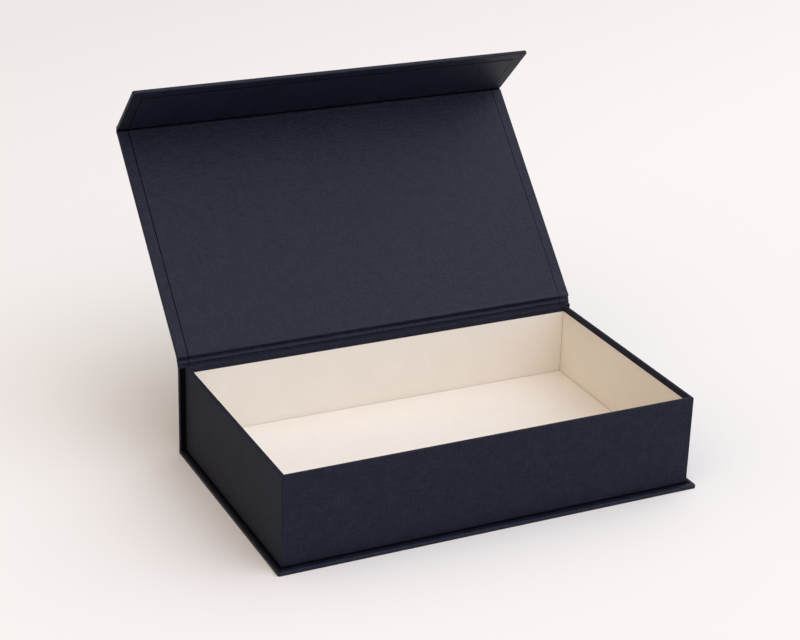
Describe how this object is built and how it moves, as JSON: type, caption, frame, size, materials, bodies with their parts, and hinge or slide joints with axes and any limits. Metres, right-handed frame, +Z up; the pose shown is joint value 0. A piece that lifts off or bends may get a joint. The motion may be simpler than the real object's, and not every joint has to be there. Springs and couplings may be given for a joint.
{
  "type": "magnetic gift box",
  "caption": "Open book-style rigid box: a lined tray in a wrapped case whose lid and magnet flap fold on paper joints.",
  "frame": {"origin": "on the surface that the box stands on, under the centre of the tray", "axes": "+X to the right along the front edge, +Y from the front to the spine, +Z up"},
  "size_m": [0.3294, 0.3277, 0.2549],
  "materials": {
    "greyboard": "matte",
    "navy_wrap": "matte",
    "navy_lining": "matte",
    "cream_lining": "matte",
    "pad_card": "matte",
    "paper_tape": "matte",
    "magnet": "satin",
    "steel_disc": "satin"
  },
  "bodies": {
    "tray": {"base_board": "greyboard", "base_wrap": "navy_wrap", "spine_board": "greyboard", "spine_wrap": "navy_wrap", "spine_lining": "navy_lining", "tray_floor_board": "greyboard", "tray_front_board": "greyboard", "tray_back_board": "greyboard", "tray_left_board": "greyboard", "tray_right_board": "greyboard", "corner_stay_front_left": "paper_tape", "corner_stay_front_right": "paper_tape", "corner_stay_back_left": "paper_tape", "corner_stay_back_right": "paper_tape", "tray_wrap": "navy_wrap", "wall_lining": "cream_lining", "floor_pad_core": "pad_card", "floor_pad_cover": "cream_lining", "strike_disc_left": "steel_disc", "strike_disc_right": "steel_disc"},
    "lid_hinge": {"lid_hinge_wrap": "navy_wrap", "lid_hinge_lining": "navy_lining"},
    "lid": {"lid_board": "greyboard", "lid_wrap": "navy_wrap", "lid_lining": "navy_lining"},
    "flap_hinge": {"flap_hinge_wrap": "navy_wrap", "flap_hinge_lining": "navy_lining"},
    "flap": {"flap_board": "greyboard", "flap_wrap": "navy_wrap", "flap_lining": "navy_lining", "magnet_left": "magnet", "magnet_right": "magnet"}
  },
  "joints": [
    {"name": "lid_fold_lower", "type": "hinge", "parent": "tray", "child": "lid_hinge", "pos_m": [0, 0.0964, 0.07106], "axis": [1, 0, 0], "range_deg": [-30.5, 67]},
    {"name": "lid_fold_upper", "type": "hinge", "parent": "lid_hinge", "child": "lid", "pos_m": [0, 0.09827, 0.0757], "axis": [1, 0, 0], "range_deg": [-30.5, 67]},
    {"name": "flap_fold_lower", "type": "hinge", "parent": "lid", "child": "flap_hinge", "pos_m": [0, 0.22797, 0.21], "axis": [1, 0, 0], "range_deg": [-45, 0]},
    {"name": "flap_fold_upper", "type": "hinge", "parent": "flap_hinge", "child": "flap", "pos_m": [0, 0.22788, 0.2148], "axis": [1, 0, 0], "range_deg": [-45, 0]}
  ]
}
